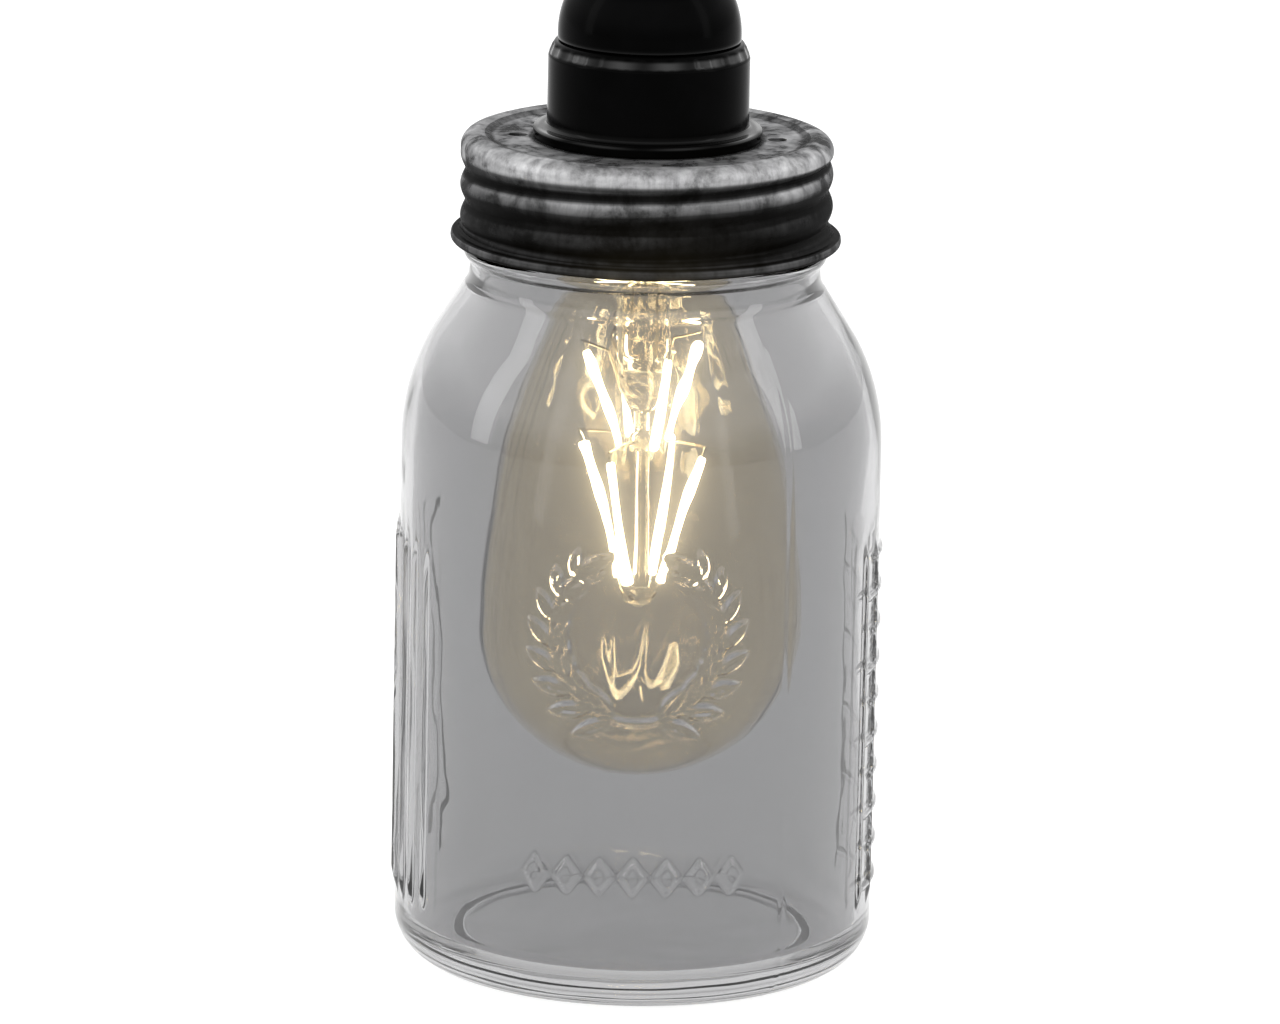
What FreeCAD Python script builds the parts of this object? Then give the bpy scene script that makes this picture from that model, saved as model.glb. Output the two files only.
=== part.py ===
import FreeCAD, Part
import Sketcher
import math
import os

# Jar pendant light: a glass screw-top jar hangs from (or stands under) a rolled steel lid.
# The lid carries a two-piece moulded lampholder, and a filament lamp screws into it.
# Units are millimetres. Z is up, z = 0 is the plane the jar stands on, X = Y = 0 is the
# common axis of jar, lid, lampholder and lamp. -Y is the front.

V = FreeCAD.Vector
doc = FreeCAD.newDocument("jar_light")
sheet = doc.addObject("Spreadsheet::Sheet", "Sizes")


class Dim:
    """A size: its number, and the text that binds a property to it."""

    def __init__(self, value, text):
        self.value = float(value)
        self.text = text

    def _join(self, other, sign, value, swap=False):
        o = other.text if isinstance(other, Dim) else repr(float(other))
        a, b = (o, self.text) if swap else (self.text, o)
        return Dim(value, "(%s %s %s)" % (a, sign, b))

    def __add__(self, o):
        return self._join(o, "+", self.value + num(o))

    def __radd__(self, o):
        return self._join(o, "+", num(o) + self.value, True)

    def __sub__(self, o):
        return self._join(o, "-", self.value - num(o))

    def __rsub__(self, o):
        return self._join(o, "-", num(o) - self.value, True)

    def __mul__(self, o):
        return self._join(o, "*", self.value * num(o))

    __rmul__ = __mul__

    def __truediv__(self, o):
        return self._join(o, "/", self.value / num(o))


def num(x):
    return x.value if isinstance(x, Dim) else float(x)


row = [0]


def size(alias, value):
    """Put one driving size in the sheet and return it."""
    row[0] += 1
    sheet.set("A%d" % row[0], alias)
    sheet.set("B%d" % row[0], repr(float(value)))
    sheet.setAlias("B%d" % row[0], alias)
    return Dim(value, "Sizes." + alias)


# ---- driving sizes -------------------------------------------------------------------
# jar
jar_rad = size("jar_rad", 48.0)            # body, outside
jar_wall = size("jar_wall", 3.0)
heel_rad = size("heel_rad", 9.0)
foot_in = size("foot_in", 36.0)            # inner edge of the ring it stands on
push_up = size("push_up", 2.4)             # hollow under the base
floor_top = size("floor_top", 7.2)
shoulder_z = size("shoulder_z", 106.0)     # where the straight body ends
shoulder_rad = size("shoulder_rad", 43.8)
cone_r = size("cone_r", 41.14)             # end of the shoulder curve
cone_z = size("cone_z", 129.53)
cone_in_r = size("cone_in_r", 38.61)
cone_in_z = size("cone_in_z", 127.92)
neck_rad = size("neck_rad", 35.0)
neck_fillet = size("neck_fillet", 5.0)
bead_rad = size("bead_rad", 36.1)
bead_z = size("bead_z", 144.4)
finish_rad = size("finish_rad", 34.9)      # thread root
mouth_rad = size("mouth_rad", 32.8)
rim_z = size("rim_z", 166.0)
thread_crest = size("thread_crest", 36.05)
jar_pitch = size("jar_pitch", 6.35)
jar_turns = size("jar_turns", 1.25)
jar_thread_z = size("jar_thread_z", 154.45)  # ridge centre above the +X axis
# lid
lid_top = size("lid_top", 168.2)
sheet_t = size("sheet_t", 0.6)
panel_drop = size("panel_drop", 0.8)       # the panel lies below the rim bead
panel_rad = size("panel_rad", 31.6)
lid_hole = size("lid_hole", 20.3)
roll_rad = size("roll_rad", 37.0)          # outside of the rolled thread
groove_rad = size("groove_rad", 36.1)      # outside, between the rolls
lip_rad = size("lip_rad", 38.75)
lip_z = size("lip_z", 146.0)
vent_rad = size("vent_rad", 1.9)
vent_x = size("vent_x", 25.7)
lid_thread_z = size("lid_thread_z", 149.6775)  # roll centre above the +Y axis
lid_turns = size("lid_turns", 2.35)
seal_t = size("seal_t", 1.6)
# lampholder
hold_rad = size("hold_rad", 20.0)
flange_rad = size("flange_rad", 22.75)
flange_t = size("flange_t", 2.3)
skirt_rad = size("skirt_rad", 19.3)
skirt_crest = size("skirt_crest", 19.9)
skirt_z = size("skirt_z", 152.4)
skirt_pitch = size("skirt_pitch", 2.5)
hold_bore = size("hold_bore", 15.2)
seat_z = size("seat_z", 178.0)
carrier_rad = size("carrier_rad", 17.2)
carrier_t = size("carrier_t", 4.0)
hold_top = size("hold_top", 187.0)
cap_rad = size("cap_rad", 18.2)
cap_wall = size("cap_wall", 2.0)
cap_bore = size("cap_bore", 18.2)          # thread minor radius in the holder
cap_crest = size("cap_crest", 18.6)
cap_pitch = size("cap_pitch", 2.0)
dome_z = size("dome_z", 188.6)
hub_rad = size("hub_rad", 7.0)
hub_top = size("hub_top", 210.0)
gland_rad = size("gland_rad", 5.0)
cord_rad = size("cord_rad", 3.6)
gland_top = size("gland_top", 215.0)
# shade ring under the lid
ring_t = size("ring_t", 5.2)
ring_lip = size("ring_lip", 26.5)
ring_rad = size("ring_rad", 23.4)
# screw shell of the holder and lamp cap, 7 threads to the inch
lamp_pitch = size("lamp_pitch", 3.6286)
shell_in = size("shell_in", 12.85)
shell_t = size("shell_t", 0.4)
shell_z = size("shell_z", 154.6)
cap_root = size("cap_root", 12.45)
cap_lamp_crest = size("cap_lamp_crest", 13.1)
cap_lamp_z = size("cap_lamp_z", 149.4)
cap_lamp_t = size("cap_lamp_t", 0.35)
cap_thread_z = size("cap_thread_z", 156.0)
tip_z = size("tip_z", 176.4)
# lamp
bulb_rad = size("bulb_rad", 32.1)
bulb_belly_z = size("bulb_belly_z", 68.0)
bulb_side_rad = size("bulb_side_rad", 146.7)
bulb_cone_r = size("bulb_cone_r", 21.8)
bulb_cone_z = size("bulb_cone_z", 122.0)
bulb_neck_rad = size("bulb_neck_rad", 12.6)
glass_t = size("glass_t", 0.9)
stem_rad = size("stem_rad", 5.5)
stem_wall = size("stem_wall", 1.1)
press_z = size("press_z", 121.0)
rod_rad = size("rod_rad", 1.4)
rod_z = size("rod_z", 71.5)
fil_rad = size("fil_rad", 0.95)
fil_len = size("fil_len", 29.0)
fil_len_up = size("fil_len_up", 21.0)
tab_rad = size("tab_rad", 0.32)
tab_len = size("tab_len", 2.2)
wire_rad = size("wire_rad", 0.28)
doc.recompute()


# ---- makers --------------------------------------------------------------------------
def origin_of(body, role):
    return [f for f in body.Origin.OriginFeatures if f.Role == role][0]


def sketch(body, name, path, plane="XZ_Plane"):
    """A closed outline of lines and arcs. path holds (x, y) corners, or (x, y, radius)
    for a corner that an arc leads up to; a positive radius bulges to the right of the
    way of travel, a negative one to the left."""
    if body is None:
        sk = doc.addObject("Sketcher::SketchObject", name)
        sk.Placement = FreeCAD.Placement(V(0, 0, 0), FreeCAD.Rotation(V(1, 0, 0), 90.0))
    else:
        sk = body.newObject("Sketcher::SketchObject", name)
        sk.AttachmentSupport = (origin_of(body, plane), [""])
        sk.MapMode = "FlatFace"
    n = len(path)
    ends = []
    for i in range(n):
        p, q = path[i], path[(i + 1) % n]
        a = V(num(p[0]), num(p[1]), 0)
        b = V(num(q[0]), num(q[1]), 0)
        if len(q) == 3:
            r = num(q[2])
            way = b - a
            mid = (a + b) * 0.5
            left = V(-way.y, way.x, 0)
            left.normalize()
            rise = math.sqrt(max(r * r - way.Length ** 2 / 4.0, 0.0))
            centre = mid + left * (rise if r > 0 else -rise)
            far = centre + (mid - centre).normalize() * abs(r) if rise > 1e-9 else mid - left * r
            g = sk.addGeometry(Part.Arc(a, far, b), False)
            ends.append((g, 1, 2) if r > 0 else (g, 2, 1))
            sk.addConstraint(Sketcher.Constraint("Radius", g, abs(r)))
            if isinstance(q[2], Dim):
                sk.setExpression("Constraints[%d]" % (sk.ConstraintCount - 1), q[2].text if r > 0 else "-1 * " + q[2].text)
        else:
            g = sk.addGeometry(Part.LineSegment(a, b), False)
            ends.append((g, 1, 2))
    for i in range(n):
        g, _, e = ends[i]
        h, s, _ = ends[(i + 1) % n]
        sk.addConstraint(Sketcher.Constraint("Coincident", g, e, h, s))
    for i in range(n):
        g, s, _ = ends[i]
        for kind, axis, val in (("DistanceX", -2, path[i][0]), ("DistanceY", -1, path[i][1])):
            if abs(num(val)) < 1e-9:
                sk.addConstraint(Sketcher.Constraint("PointOnObject", g, s, axis))
            else:
                sk.addConstraint(Sketcher.Constraint(kind, -1, 1, g, s, num(val)))
                if isinstance(val, Dim):
                    sk.setExpression("Constraints[%d]" % (sk.ConstraintCount - 1), val.text)
    return sk


def lathe(name, path):
    """A turned piece. An outline that reaches the axis is turned first and then
    becomes the body's base."""
    if any(abs(num(p[0])) < 1e-9 for p in path):
        rev = doc.addObject("Part::Revolution", name + "_turned")
        rev.Source = sketch(None, name + "_profile", path)
        rev.Axis, rev.Base, rev.Angle, rev.Solid = V(0, 0, 1), V(0, 0, 0), 360.0, True
        doc.recompute()
        body = doc.addObject("PartDesign::Body", name)
        body.Label = name
        body.BaseFeature = rev
        doc.recompute()
        return body
    body = doc.addObject("PartDesign::Body", name)
    body.Label = name
    sk = sketch(body, name + "_profile", path)
    rev = body.newObject("PartDesign::Revolution", name + "_turned")
    rev.Profile = sk
    rev.ReferenceAxis = (sk, ["V_Axis"])
    rev.Angle = 360.0
    doc.recompute()
    return body


def helix(body, name, path, pitch, turns, cut=False, plane="XZ_Plane"):
    """A right-hand thread: a ridge, or a groove when cut."""
    sk = sketch(body, name + "_section", path, plane)
    kind = "PartDesign::SubtractiveHelix" if cut else "PartDesign::AdditiveHelix"
    before = body.Shape.Volume
    hx = body.newObject(kind, name)
    hx.Profile = sk
    hx.ReferenceAxis = (sk, ["V_Axis"])
    hx.Mode = 1
    hx.Pitch = num(pitch)
    hx.Turns = num(turns)
    if isinstance(pitch, Dim):
        hx.setExpression("Pitch", pitch.text)
    if isinstance(turns, Dim):
        hx.setExpression("Turns", turns.text)
    hx.LeftHanded = False
    hx.Reversed = False
    doc.recompute()
    gain = body.Shape.Volume - before
    if (gain > 0) == cut or abs(gain) < 1e-3:
        raise RuntimeError("%s changed the volume by %.3f" % (name, gain))
    return hx


def bores(body, name, circles, z0, depth, count=1):
    """Round holes or notches that start at height z0 and run up by depth."""
    sk = body.newObject("Sketcher::SketchObject", name + "_outline")
    sk.AttachmentSupport = (origin_of(body, "XY_Plane"), [""])
    sk.MapMode = "FlatFace"
    sk.AttachmentOffset = FreeCAD.Placement(V(0, 0, num(z0)), FreeCAD.Rotation())
    if isinstance(z0, Dim):
        sk.setExpression("AttachmentOffset.Base.z", z0.text)
    for x, y, r in circles:
        g = sk.addGeometry(Part.Circle(V(num(x), num(y), 0), V(0, 0, 1), num(r)), False)
        for kind, axis, val in (("DistanceX", -2, x), ("DistanceY", -1, y)):
            if abs(num(val)) < 1e-9:
                sk.addConstraint(Sketcher.Constraint("PointOnObject", g, 3, axis))
            else:
                sk.addConstraint(Sketcher.Constraint(kind, -1, 1, g, 3, num(val)))
                if isinstance(val, Dim) and num(val) > 0:
                    sk.setExpression("Constraints[%d]" % (sk.ConstraintCount - 1), val.text)
        sk.addConstraint(Sketcher.Constraint("Radius", g, num(r)))
        if isinstance(r, Dim):
            sk.setExpression("Constraints[%d]" % (sk.ConstraintCount - 1), r.text)
    before = body.Shape.Volume
    pk = body.newObject("PartDesign::Pocket", name)
    pk.Profile = sk
    pk.Reversed = True
    pk.Length = num(depth)
    if isinstance(depth, Dim):
        pk.setExpression("Length", depth.text)
    doc.recompute()
    if not body.Shape.Volume < before - 1e-3:
        raise RuntimeError(name + " cut nothing")
    if count > 1:
        pat = body.newObject("PartDesign::PolarPattern", name + "_round")
        pat.Originals = [pk]
        pat.Axis = (sk, ["N_Axis"])
        pat.Angle = 360.0
        pat.Occurrences = count
        body.Tip = pat
        doc.recompute()
    return pk


def bind(obj, prop, val):
    if isinstance(val, Dim):
        obj.setExpression(prop, val.text)


def rod_between(name, a, b, rad, length=None):
    """A straight round bar from a towards b."""
    way = b - a
    c = doc.addObject("Part::Cylinder", name)
    c.Radius = num(rad)
    c.Height = num(length) if length is not None else way.Length
    bind(c, "Radius", rad)
    bind(c, "Height", length)
    c.Placement = FreeCAD.Placement(a, FreeCAD.Rotation(V(0, 0, 1), way))
    return c


def upright(name, rad, x, y, z, high):
    c = doc.addObject("Part::Cylinder", name)
    c.Radius, c.Height = num(rad), num(high)
    c.Placement = FreeCAD.Placement(V(num(x), num(y), num(z)), FreeCAD.Rotation())
    bind(c, "Radius", rad)
    bind(c, "Height", high)
    bind(c, "Placement.Base.z", z)
    return c


def block(name, x, y, z, dx, dy, dz):
    b = doc.addObject("Part::Box", name)
    b.Length, b.Width, b.Height = num(dx), num(dy), num(dz)
    b.Placement = FreeCAD.Placement(V(num(x), num(y), num(z)), FreeCAD.Rotation())
    for prop, val in (("Length", dx), ("Width", dy), ("Height", dz), ("Placement.Base.z", z)):
        bind(b, prop, val)
    return b


def cut(name, base, tool):
    c = doc.addObject("Part::Cut", name)
    c.Base, c.Tool = base, tool
    return c


def fuse(name, *pieces):
    f = doc.addObject("Part::MultiFuse", name)
    f.Shapes = list(pieces)
    return f


def group(name, pieces):
    c = doc.addObject("Part::Compound", name)
    c.Label = name
    c.Links = list(pieces)
    return c


def polar(r, deg, z):
    return V(r * math.cos(math.radians(deg)), r * math.sin(math.radians(deg)), z)


nodes = []

# ---- jar -----------------------------------------------------------------------------
jar_in = jar_rad - jar_wall
foot_out = jar_rad - heel_rad
jar = lathe("glass_jar", [
    (0, push_up), (foot_in - 2.5, push_up), (foot_in, 0), (foot_out, 0),
    (jar_rad, heel_rad, heel_rad),
    (jar_rad, shoulder_z),
    (cone_r, cone_z, shoulder_rad),
    (neck_rad + 0.783, cone_z + 8.41),
    (neck_rad, cone_z + 11.09, Dim(-5.0, "(-1 * Sizes.neck_fillet)")),
    (neck_rad, bead_z - 1.4), (bead_rad, bead_z - 0.6), (bead_rad, bead_z + 0.6), (finish_rad, bead_z + 1.4),
    (finish_rad, rim_z - 1.0), (finish_rad - 1.0, rim_z, 1.0),
    (mouth_rad + 0.8, rim_z), (mouth_rad, rim_z - 0.8, 0.8),
    (mouth_rad, cone_in_z + 9.12),
    (cone_in_r, cone_in_z),
    (jar_in, shoulder_z, Dim(-40.8, "(-1 * (Sizes.shoulder_rad - Sizes.jar_wall))")),
    (jar_in, floor_top + 7.4), (jar_in - 8.5, floor_top - 1.1, Dim(-8.5, "(-8.5)")), (0, floor_top)])
helix(jar, "jar_thread", [(finish_rad - 0.4, jar_thread_z - 2.0), (thread_crest, jar_thread_z - 0.9),
                          (thread_crest, jar_thread_z + 0.9), (finish_rad - 0.4, jar_thread_z + 2.0)],
      jar_pitch, jar_turns)
nodes.append(jar)

# ---- lid and seal --------------------------------------------------------------------
panel_z = lid_top - panel_drop
inner = groove_rad - sheet_t
lid = lathe("screw_lid", [
    (lid_hole, panel_z - sheet_t), (panel_rad + 0.25, panel_z - sheet_t), (panel_rad + 1.15, lid_top - sheet_t),
    (roll_rad - 2.6, lid_top - sheet_t), (roll_rad - sheet_t, lid_top - 2.6, Dim(-2.0, "(-1 * (2.6 - Sizes.sheet_t))")),
    (roll_rad - sheet_t, lid_top - 3.3), (inner, lid_top - 4.3), (inner, lip_z + 3.3),
    (lip_rad - 2.0, lip_z + 2.0), (lip_rad - 1.65, lip_z + 1.4), (lip_rad - 1.65, lip_z + 0.4), (lip_rad - 1.3, lip_z),
    (lip_rad - 0.6, lip_z), (lip_rad, lip_z + 0.6), (lip_rad, lip_z + 1.8), (lip_rad - 0.6, lip_z + 2.4),
    (lip_rad - 1.45, lip_z + 2.4), (groove_rad, lip_z + 3.6), (groove_rad, lid_top - 4.6),
    (roll_rad, lid_top - 3.6), (roll_rad, lid_top - 2.6), (roll_rad - 2.6, lid_top, 2.6),
    (panel_rad + 0.9, lid_top), (panel_rad, panel_z), (lid_hole, panel_z)])
helix(lid, "lid_roll", [(groove_rad - 0.1, lid_thread_z - 2.55), (roll_rad, lid_thread_z - 1.6),
                        (roll_rad, lid_thread_z + 1.6), (groove_rad - 0.1, lid_thread_z + 2.55)],
      jar_pitch, lid_turns, plane="YZ_Plane")
low_z = lid_thread_z - jar_pitch
helix(lid, "lid_thread", [(inner - 0.2, low_z - 1.95), (roll_rad - sheet_t, low_z - 1.15),
                          (roll_rad - sheet_t, low_z + 1.15), (inner - 0.2, low_z + 1.95)],
      jar_pitch, lid_turns + 1.0, cut=True, plane="YZ_Plane")
bores(lid, "vents", [(vent_x, 0, vent_rad), (-1 * vent_x, 0, vent_rad)], panel_z - 3.0, 6.0)
nodes.append(lid)

seal = lathe("lid_gasket", [(mouth_rad + 0.1, rim_z), (mouth_rad + 1.5, rim_z),
                            (mouth_rad + 1.5, rim_z + seal_t), (mouth_rad + 0.1, rim_z + seal_t)])
nodes.append(seal)

# ---- lampholder ----------------------------------------------------------------------
carrier_top = seat_z + carrier_t
holder = lathe("socket_body", [
    (hold_bore, skirt_z), (skirt_rad - 0.5, skirt_z), (skirt_rad, skirt_z + 0.6), (skirt_rad, panel_z),
    (flange_rad, panel_z), (flange_rad, panel_z + flange_t - 0.5), (flange_rad - 0.5, panel_z + flange_t),
    (hold_rad, panel_z + flange_t), (hold_rad, hold_top - 2.8), (hold_rad - 1.1, hold_top),
    (cap_bore, hold_top), (cap_bore, carrier_top),
    (carrier_rad + 0.2, carrier_top), (carrier_rad + 0.2, seat_z), (hold_bore, seat_z)])
skirt_thread_z = skirt_z + 2.0
helix(holder, "skirt_thread", [(skirt_rad - 0.2, skirt_thread_z - 0.95), (skirt_crest, skirt_thread_z - 0.35),
                               (skirt_crest, skirt_thread_z + 0.35), (skirt_rad - 0.2, skirt_thread_z + 0.95)],
      skirt_pitch, 4.6)
cap_thread = carrier_top - 0.6
helix(holder, "cap_thread_female", [(cap_bore - 0.1, cap_thread - 0.75), (cap_crest + 0.25, cap_thread - 0.35),
                                    (cap_crest + 0.25, cap_thread + 0.35), (cap_bore - 0.1, cap_thread + 0.75)],
      cap_pitch, 3.2, cut=True)
nodes.append(holder)

cap_in = cap_rad - cap_wall
cap_z = carrier_top + 0.1
hub_foot = dome_z + 16.8
cap = lathe("socket_cap", [
    (cap_in, cap_z), (cap_bore - 0.2, cap_z), (cap_bore - 0.2, hold_top + 0.1), (cap_rad, hold_top + 0.1), (cap_rad, dome_z),
    (hub_rad, hub_foot, cap_rad), (hub_rad, hub_top - 0.6), (hub_rad - 0.6, hub_top), (gland_rad, hub_top),
    (gland_rad, dome_z + 15.409), (cap_in, dome_z, Dim(-16.2, "(-1 * (Sizes.cap_rad - Sizes.cap_wall))"))])
cap_ridge = carrier_top + 1.4
helix(cap, "cap_thread_male", [(cap_bore - 0.35, cap_ridge - 0.5), (cap_crest, cap_ridge - 0.15),
                               (cap_crest, cap_ridge + 0.15), (cap_bore - 0.35, cap_ridge + 0.5)],
      cap_pitch, 1.4)
# side hole for the grip screw, through the hub wall on +X
sk = cap.newObject("Sketcher::SketchObject", "grip_hole_outline")
sk.AttachmentSupport = (origin_of(cap, "YZ_Plane"), [""])
sk.MapMode = "FlatFace"
sk.addGeometry(Part.Circle(V(0, num(hub_top) - 2.2, 0), V(0, 0, 1), 1.5), False)
sk.addConstraint(Sketcher.Constraint("PointOnObject", 0, 3, -2))
sk.addConstraint(Sketcher.Constraint("DistanceY", -1, 1, 0, 3, num(hub_top) - 2.2))
sk.setExpression("Constraints[1]", (hub_top - 2.2).text)
sk.addConstraint(Sketcher.Constraint("Radius", 0, 1.5))
was = cap.Shape.Volume
pk = cap.newObject("PartDesign::Pocket", "grip_hole")
pk.Profile = sk
pk.Reversed = True
pk.Length = 12.0
doc.recompute()
if not cap.Shape.Volume < was - 1.0:
    raise RuntimeError("grip_hole cut nothing")
nodes.append(cap)

ring_top = panel_z - sheet_t
ring = lathe("shade_ring", [
    (skirt_rad + 0.2, ring_top - ring_t), (ring_rad - 0.4, ring_top - ring_t), (ring_rad, ring_top - ring_t + 0.4),
    (ring_rad, ring_top - 2.2), (ring_lip - 0.4, ring_top - 2.2), (ring_lip, ring_top - 1.8), (ring_lip, ring_top),
    (skirt_rad + 0.2, ring_top)])
ring_thread_z = skirt_thread_z + skirt_pitch * 2
helix(ring, "ring_thread", [(skirt_rad + 0.1, ring_thread_z - 1.05), (skirt_crest + 0.25, ring_thread_z - 0.5),
                            (skirt_crest + 0.25, ring_thread_z + 0.5), (skirt_rad + 0.1, ring_thread_z + 1.05)],
      skirt_pitch, 4.0, cut=True)
bores(ring, "grips", [(ring_lip + 0.4, 0, 1.3)], ring_top - 3.0, 4.0, count=16)
nodes.append(ring)

carrier = lathe("contact_carrier", [
    (1.3, seat_z), (carrier_rad, seat_z), (carrier_rad, carrier_top - 0.4), (carrier_rad - 0.4, carrier_top), (1.3, carrier_top)])
bores(carrier, "carrier_holes", [(14.2, 0, 0.65), (-14.2, 0, 0.65), (-6.6, 0, 1.05), (9.0, 0, 1.75), (-10.4, 0, 1.75)],
      seat_z - 1.0, carrier_t + 2.0)
nodes.append(carrier)

shell_top = seat_z
shell = lathe("screw_shell", [
    (shell_in, shell_z), (shell_in + shell_t, shell_z), (shell_in + shell_t, shell_top - 0.6),
    (hold_bore - 0.2, shell_top - 0.6), (hold_bore - 0.2, shell_top), (shell_in, shell_top)])
helix(shell, "shell_roll", [(shell_in + shell_t - 0.1, cap_thread_z - 1.35), (shell_in + shell_t + 0.6, cap_thread_z - 0.85),
                            (shell_in + shell_t + 0.6, cap_thread_z + 0.85), (shell_in + shell_t - 0.1, cap_thread_z + 1.35)],
      lamp_pitch, 5.2)
shell_low = cap_thread_z - lamp_pitch
helix(shell, "shell_thread", [(shell_in - 0.1, shell_low - 1.15), (shell_in + 0.6, shell_low - 0.6),
                              (shell_in + 0.6, shell_low + 0.6), (shell_in - 0.1, shell_low + 1.15)],
      lamp_pitch, 6.2, cut=True)
bores(shell, "shell_holes", [(14.2, 0, 0.65), (-14.2, 0, 0.65)], shell_top - 0.7, 2.0)
nodes.append(shell)

# spring tongue that bears on the lamp's tip
tongue = doc.addObject("PartDesign::Body", "centre_contact")
tongue.Label = "centre_contact"
tsk = tongue.newObject("Sketcher::SketchObject", "tongue_side")
tsk.AttachmentSupport = (origin_of(tongue, "XZ_Plane"), [""])
tsk.MapMode = "FlatFace"
tpts = [(-9.0, seat_z), (-9.0, seat_z - 0.4), (-4.6, seat_z - 0.4), (-0.5, tip_z + 0.05), (0.8, tip_z + 0.05), (3.2, tip_z + 0.55),
        (3.2, tip_z + 0.95), (0.7, tip_z + 0.45), (-0.4, tip_z + 0.45), (-4.5, seat_z)]
for i in range(len(tpts)):
    a, b = tpts[i], tpts[(i + 1) % len(tpts)]
    tsk.addGeometry(Part.LineSegment(V(a[0], num(a[1]), 0), V(b[0], num(b[1]), 0)), False)
for i in range(len(tpts)):
    tsk.addConstraint(Sketcher.Constraint("Coincident", i, 2, (i + 1) % len(tpts), 1))
for i, (x, z) in enumerate(tpts):
    tsk.addConstraint(Sketcher.Constraint("DistanceX", -1, 1, i, 1, x))
    tsk.addConstraint(Sketcher.Constraint("DistanceY", -1, 1, i, 1, num(z)))
    tsk.setExpression("Constraints[%d]" % (tsk.ConstraintCount - 1), z.text)
tpad = tongue.newObject("PartDesign::Pad", "tongue_strip")
tpad.Profile = tsk
tpad.Length = 5.0
tpad.Midplane = True
doc.recompute()
bores(tongue, "tongue_hole", [(-6.6, 0, 1.05)], seat_z - 1.0, 3.0)
nodes.append(tongue)

# rivets: two hold the screw shell to the carrier, one holds the tongue
shell_rivets = []
for i, x in enumerate((14.2, -14.2)):
    shank = upright("shell_rivet_shank%d" % i, 0.6, x, 0, seat_z - 1.2, carrier_t + 1.2 + (0.8 if x > 0 else 0.0))
    low = upright("shell_rivet_low%d" % i, 0.9, x, 0, seat_z - 1.2, 0.6)
    high = upright("shell_rivet_high%d" % i, 1.0, x, 0, carrier_top + (0.8 if x > 0 else 0.0), 0.6)
    shell_rivets.append(fuse("shell_rivet%d" % i, shank, low, high))
nodes.append(group("shell_rivets", shell_rivets))
c_rivet = fuse("centre_rivet", upright("centre_rivet_shank", 1.0, -6.6, 0, seat_z - 0.4, carrier_t + 1.2),
               upright("centre_rivet_low", 1.8, -6.6, 0, seat_z - 1.0, 0.6),
               upright("centre_rivet_high", 1.7, -6.6, 0, carrier_top + 0.8, 0.6))
c_rivet.Label = "centre_rivet"
nodes.append(c_rivet)

# terminal plates on the carrier, with their wire screws
live = cut("live_plate", block("live_blank", -13.0, -3.5, carrier_top, 8.0, 7.0, 0.8),
           fuse("live_holes", upright("live_hole_a", 1.75, -10.4, 0, carrier_top - 1.0, 3.0),
                upright("live_hole_b", 1.05, -6.6, 0, carrier_top - 1.0, 3.0)))
neutral = cut("neutral_plate", block("neutral_blank", 5.4, -3.5, carrier_top, 10.0, 7.0, 0.8),
              fuse("neutral_holes", upright("neutral_hole_a", 1.75, 9.0, 0, carrier_top - 1.0, 3.0),
                   upright("neutral_hole_b", 0.65, 14.2, 0, carrier_top - 1.0, 3.0)))
nodes.append(group("terminal_plates", [live, neutral]))
screws = []
for i, x in enumerate((9.0, -10.4)):
    shank = upright("terminal_shank%d" % i, 1.7, x, 0, seat_z + 0.4, carrier_t + 0.4 + 1.8)
    head = upright("terminal_head%d" % i, 1.9 if x < 0 else 3.0, x, 0, carrier_top + 1.4, 1.8)
    slot = block("terminal_slot%d" % i, x - 3.5, -0.4, carrier_top + 2.4, 7.0, 0.8, 1.5)
    screws.append(cut("terminal_screw%d" % i, fuse("terminal_blank%d" % i, shank, head), slot))
nodes.append(group("terminal_screws", screws))

# cord inlet: grip bush in the cap's hub, with its side screw
gland = lathe("cord_grip", [
    (cord_rad, dome_z + 13.0), (gland_rad - 0.8, dome_z + 13.0), (gland_rad, dome_z + 14.0), (gland_rad, hub_top),
    (hub_rad - 0.4, hub_top), (hub_rad - 0.4, hub_top + 1.6), (hub_rad - 0.8, hub_top + 2.0), (gland_rad + 0.4, hub_top + 2.0),
    (gland_rad - 0.2, gland_top - 0.4), (gland_rad - 0.6, gland_top), (cord_rad + 0.4, gland_top), (cord_rad, gland_top - 0.4)])
nodes.append(gland)
grip = cut("grip_screw", rod_between("grip_blank", V(num(gland_rad) + 0.05, 0, num(hub_top) - 2.2), V(20, 0, num(hub_top) - 2.2), 1.45, 3.0),
           block("grip_slot", 7.2, -0.3, hub_top - 4.5, 2.0, 0.6, 5.0))
grip.Label = "grip_screw"
nodes.append(grip)

# ---- lamp ----------------------------------------------------------------------------
gt = glass_t


def crown(x, dz):
    """Radius of the arc that starts level on the axis and reaches x out, dz up."""
    return (x * x + dz * dz) / (2.0 * dz)


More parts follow.
